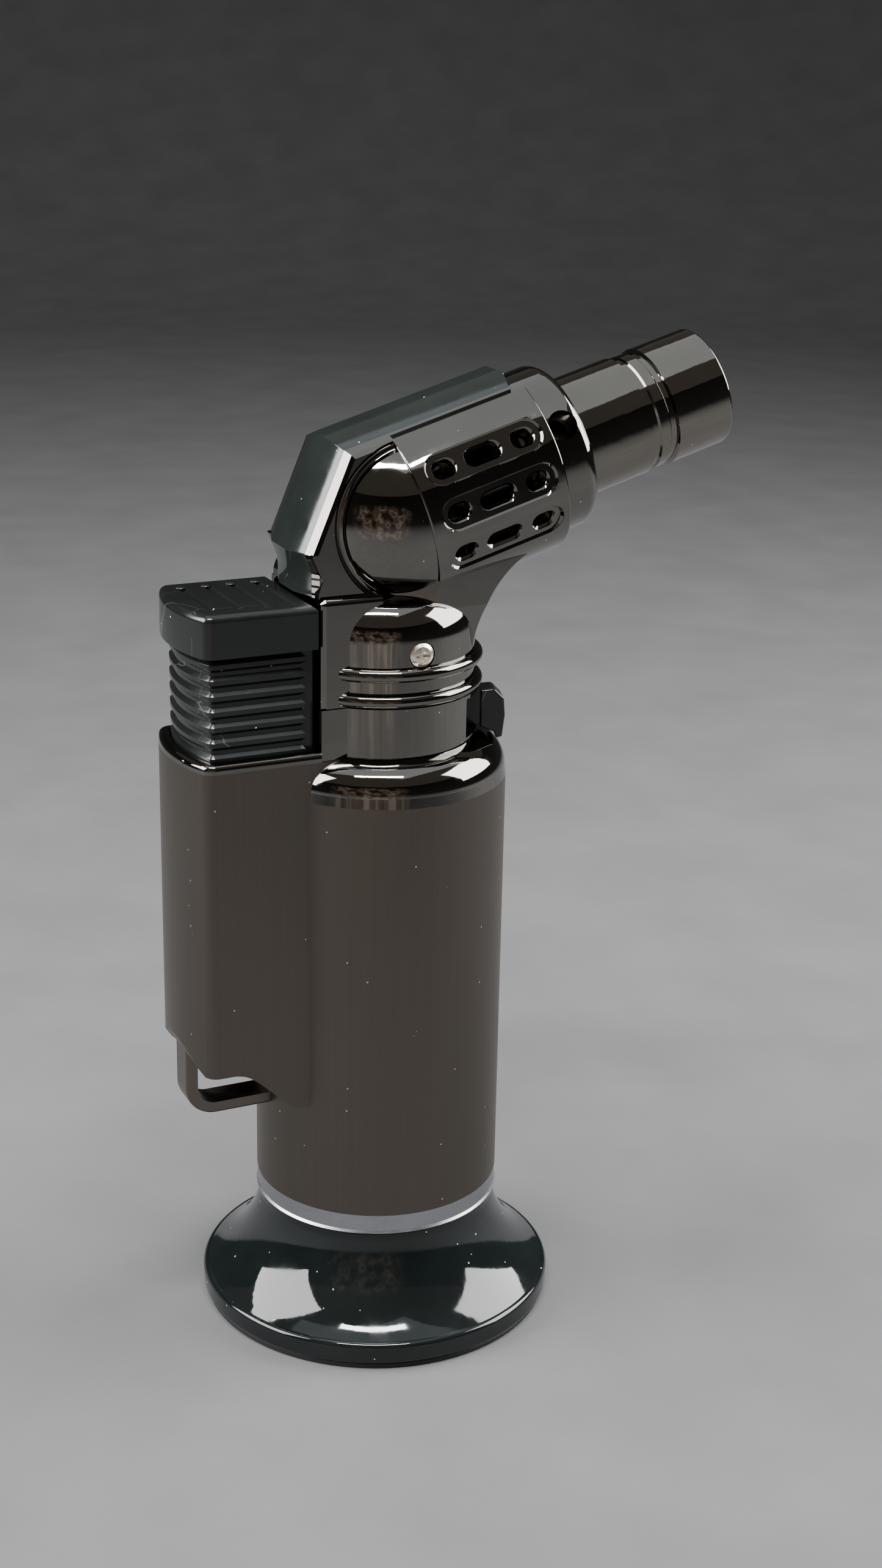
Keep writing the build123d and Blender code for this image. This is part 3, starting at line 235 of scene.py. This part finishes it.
MATS = {
    "black_chrome": chrome("black_chrome", (0.175, 0.167, 0.152), 0.03),
    "nozzle_chrome": chrome("nozzle_chrome", (0.2, 0.187, 0.165), 0.045, 0.00012),
    "sleeve_gunmetal": brushed("sleeve_gunmetal", (0.125, 0.109, 0.093), 0.36, dust=0.35),
    "loop_metal": brushed("loop_metal", (0.15, 0.132, 0.113), 0.3),
    "foot_black": plastic("foot_black", (0.003, 0.0045, 0.0045), 0.03, dust=0.6),
    "spine_black": plastic("spine_black", (0.008, 0.0105, 0.0098), 0.07, dust=0.6),
    "button_black": plastic("button_black", (0.0045, 0.0052, 0.0050), 0.16, worn=0.1, dust=0.4),
    "inner_black": plastic("inner_black", (0.01, 0.01, 0.01), 0.5),
    "pad_rubber": plastic("pad_rubber", (0.008, 0.008, 0.008), 0.6),
    "ring_grey": brushed("ring_grey", (0.36, 0.37, 0.39), 0.28, (300, 300, 3000)),
    "screw_steel": brushed("screw_steel", (0.92, 0.87, 0.76), 0.3, (500, 500, 500)),
    "burner_steel": brushed("burner_steel", (0.5, 0.48, 0.45), 0.3, (900, 900, 900)),
    "spring_steel": brushed("spring_steel", (0.55, 0.55, 0.55), 0.3, (500, 500, 500)),
    "brass": brushed("brass", (0.72, 0.52, 0.22), 0.28, (600, 600, 600)),
    "seal_rubber": plastic("seal_rubber", (0.01, 0.01, 0.01), 0.6),
    "tank_smoke": plastic("tank_smoke", (0.12, 0.11, 0.10), 0.25),
    "ceramic_white": plastic("ceramic_white", (0.75, 0.72, 0.66), 0.2),
    "piezo_white": plastic("piezo_white", (0.65, 0.64, 0.6), 0.3),
    "hose_clear": plastic("hose_clear", (0.5, 0.5, 0.47), 0.3),
}

SLOT_OF = {row["node"]: row["material_slot"] for row in frame["record"]["subparts"]}
for name, node in NODES.items():
    mat = MATS[SLOT_OF[name]]
    if node.data.materials:
        node.data.materials[0] = mat
    else:
        node.data.materials.append(mat)


# ---- pieces with rounded edges ---------------------------------------------------------
WELD_DISTANCE = 0.000004
FLAT_ANGLE = math.radians(1.0)
EDGE_ANGLE = math.radians(28)


def softened(node_name, body, width):
    """Copy of a CAD node with its sharp edges rounded, standing in for that node."""
    source = NODES[node_name]
    mesh = source.data.copy()
    mesh.name = node_name + "_soft"
    bm = bmesh.new()
    bm.from_mesh(mesh)
    bmesh.ops.remove_doubles(bm, verts=bm.verts, dist=WELD_DISTANCE)
    bmesh.ops.dissolve_limit(bm, angle_limit=FLAT_ANGLE, verts=bm.verts,
                             edges=bm.edges, delimit={"NORMAL"})
    for face in bm.faces:
        face.smooth = True
    bm.to_mesh(mesh)
    bm.free()
    piece = bpy.data.objects.new(node_name + "_soft", mesh)
    bpy.context.scene.collection.objects.link(piece)
    mesh.materials.clear()
    mesh.materials.append(MATS[SLOT_OF[node_name]])
    bevel = piece.modifiers.new("edges", "BEVEL")
    bevel.width = width
    bevel.segments = 3
    bevel.limit_method = "ANGLE"
    bevel.angle_limit = EDGE_ANGLE
    bevel.use_clamp_overlap = True
    bevel.harden_normals = False
    weighted = piece.modifiers.new("normals", "WEIGHTED_NORMAL")
    weighted.keep_sharp = False
    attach(piece, body)
    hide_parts(node_name)
    return piece


def make_cap_studs():
    """Four low studs at the far ends of the grooves in the button's cap."""
    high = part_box("button")[1]
    radius = 0.0008
    rise = 0.00025
    sunk = 0.00005
    first_x = -0.0270
    pitch = 0.0036
    row_y = 0.0068
    mesh = bpy.data.meshes.new("cap_studs")
    bm = bmesh.new()
    for i in range(4):
        ball = bmesh.ops.create_uvsphere(bm, u_segments=24, v_segments=12, radius=radius)
        for vert in ball["verts"]:
            vert.co.z *= rise / radius
            vert.co += Vector((first_x + pitch * i, row_y, high[2] - sunk))
    for face in bm.faces:
        face.smooth = True
    bm.to_mesh(mesh)
    bm.free()
    studs = bpy.data.objects.new("cap_studs", mesh)
    bpy.context.scene.collection.objects.link(studs)
    mesh.materials.append(MATS["button_black"])
    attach(studs, "button")


make_cap_studs()
softened("spine_cover", "housing", 0.0005)
softened("button", "button", 0.0003)
softened("vent_cover_right", "housing", 0.0002)
softened("vent_cover_left", "housing", 0.0002)


def live_spring(node_name):
    """Copy of a coil spring, with a mesh of its own, standing in for that node."""
    mesh = NODES[node_name].data.copy()
    mesh.materials.clear()
    mesh.materials.append(MATS[SLOT_OF[node_name]])
    piece = bpy.data.objects.new(node_name + "_live", mesh)
    bpy.context.scene.collection.objects.link(piece)
    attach(piece, "housing")
    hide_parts(node_name)
    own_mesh(piece)


live_spring("piezo_spring")
live_spring("valve_spring")
live_spring("fill_valve_spring")


# ---- stage -----------------------------------------------------------------------------
def make_stage():
    """Paper floor that curves up into a round backdrop far behind the object."""
    flat = 1.1
    bend = 0.6
    top = 1.0
    turns = 96
    steps = 16
    profile = [(0.3, 0.0), (flat, 0.0)]
    for i in range(1, steps + 1):
        angle = math.pi / 2 * i / steps
        profile.append((flat + bend * math.sin(angle), bend * (1 - math.cos(angle))))
    profile.append((flat + bend, top))
    mesh = bpy.data.meshes.new("backdrop")
    bm = bmesh.new()
    rings = []
    for radius, height in profile:
        ring = []
        for k in range(turns):
            angle = 2 * math.pi * k / turns
            spot = (radius * math.cos(angle), radius * math.sin(angle), height)
            ring.append(bm.verts.new(spot))
        rings.append(ring)
    bm.faces.new(rings[0])
    for low, high in zip(rings[:-1], rings[1:]):
        for k in range(turns):
            bm.faces.new((high[k - 1], high[k], low[k], low[k - 1]))
    for face in bm.faces:
        face.smooth = True
    bm.to_mesh(mesh)
    backdrop = bpy.data.objects.new("backdrop", mesh)
    bpy.context.scene.collection.objects.link(backdrop)
    mat, tree, shader = new_material("backdrop_paper")
    tone = noise(tree, 35, 3, 0.5)
    colour = ramp(tree, tone, [(0.3, (0.105, 0.105, 0.108)), (0.7, (0.122, 0.122, 0.125))])
    tree.links.new(colour, shader.inputs["Base Color"])
    shader.inputs["Roughness"].default_value = 0.9
    fibre = noise(tree, 1800, 4, 0.6)
    tree.links.new(bump(tree, fibre, 0.3, 0.0001), shader.inputs["Normal"])
    mesh.materials.append(mat)


def area_light(name, place, target, size, power, colour=(1, 1, 1)):
    data = bpy.data.lights.new(name, "AREA")
    data.shape = "RECTANGLE"
    data.size, data.size_y = size
    data.energy = power
    data.color = colour
    light = bpy.data.objects.new(name, data)
    light.location = place
    light.visible_camera = False
    aim = Vector(target) - Vector(place)
    light.rotation_euler = aim.to_track_quat("-Z", "Y").to_euler()
    bpy.context.scene.collection.objects.link(light)


def room_light():
    """Dim card with warm upright patches, like a room seen past the open front."""
    area_light("room", (-0.135, -0.215, 0.10), (0, 0, 0.10), (0.36, 0.20), 0.13)
    data = bpy.data.lights["room"]
    data.use_nodes = True
    tree = data.node_tree
    shine = tree.nodes["Emission"]
    place = add(tree, "ShaderNodeNewGeometry")
    mapping = add(tree, "ShaderNodeMapping")
    mapping.inputs["Scale"].default_value = (4.5, 2.2, 1.0)
    tree.links.new(place.outputs["Parametric"], mapping.inputs["Vector"])
    patches = add(tree, "ShaderNodeTexNoise")
    patches.inputs["Scale"].default_value = 1.6
    patches.inputs["Detail"].default_value = 1.5
    patches.inputs["Roughness"].default_value = 0.6
    tree.links.new(mapping.outputs["Vector"], patches.inputs["Vector"])
    colour = ramp(tree, patches.outputs["Fac"], [
        (0.0, (0.01, 0.008, 0.006)),
        (0.42, (0.05, 0.03, 0.02)),
        (0.47, (0.42, 0.24, 0.15)),
        (0.51, (0.2, 0.13, 0.09)),
        (0.57, (0.9, 0.78, 0.64)),
        (0.62, (0.24, 0.16, 0.11)),
        (0.70, (0.34, 0.2, 0.13)),
    ])
    tree.links.new(colour, shine.inputs["Color"])
    axes = add(tree, "ShaderNodeSeparateXYZ")
    tree.links.new(place.outputs["Parametric"], axes.inputs[0])
    across = maths(tree, "PINGPONG", axes.outputs["X"], 0.5)
    upward = maths(tree, "PINGPONG", axes.outputs["Y"], 0.5)
    fade = maths(tree, "MULTIPLY", span(tree, across, 0.0, 0.22, 0.0, 1.0),
                 span(tree, upward, 0.0, 0.15, 0.0, 1.0))
    tree.links.new(fade, shine.inputs["Strength"])


def make_world():
    world = bpy.data.worlds.new("studio")
    bpy.context.scene.world = world
    world.use_nodes = True
    sky = world.node_tree.nodes["Background"]
    sky.inputs["Color"].default_value = (0.30, 0.27, 0.24, 1)
    sky.inputs["Strength"].default_value = 0.5


def make_camera():
    """Camera a little above the object, looking down on it from the front left."""
    heading = math.radians(-25.2)
    tilt = math.radians(-18.89)
    roll = math.radians(1.08)
    data = bpy.data.cameras.new("camera")
    data.sensor_fit = "VERTICAL"
    data.sensor_height = 36.0
    data.lens = 51.85
    data.clip_start = 0.01
    camera = bpy.data.objects.new("camera", data)
    camera.matrix_world = (
        Matrix.Translation((-0.12244, -0.28087, 0.18517))
        @ Matrix.Rotation(heading, 4, "Z")
        @ Matrix.Rotation(math.pi / 2 + tilt, 4, "X")
        @ Matrix.Rotation(roll, 4, "Z")
    )
    bpy.context.scene.collection.objects.link(camera)
    bpy.context.scene.camera = camera


make_stage()
make_world()
area_light("left_panel", (-0.44, 0.10, 0.34), (0, 0, 0.07), (0.42, 0.36), 7.8)
area_light("right_panel", (0.46, -0.10, 0.34), (0, 0, 0.07), (0.42, 0.36), 7.8)
area_light("top_strip", (-0.10, -0.22, 0.62), (0, 0, 0.08), (0.34, 0.05), 5.4)
area_light("overhead", (0.05, 0.05, 0.85), (0, 0, 0.08), (0.9, 0.9), 2.4, (0.84, 0.92, 1.0))
room_light()
make_camera()
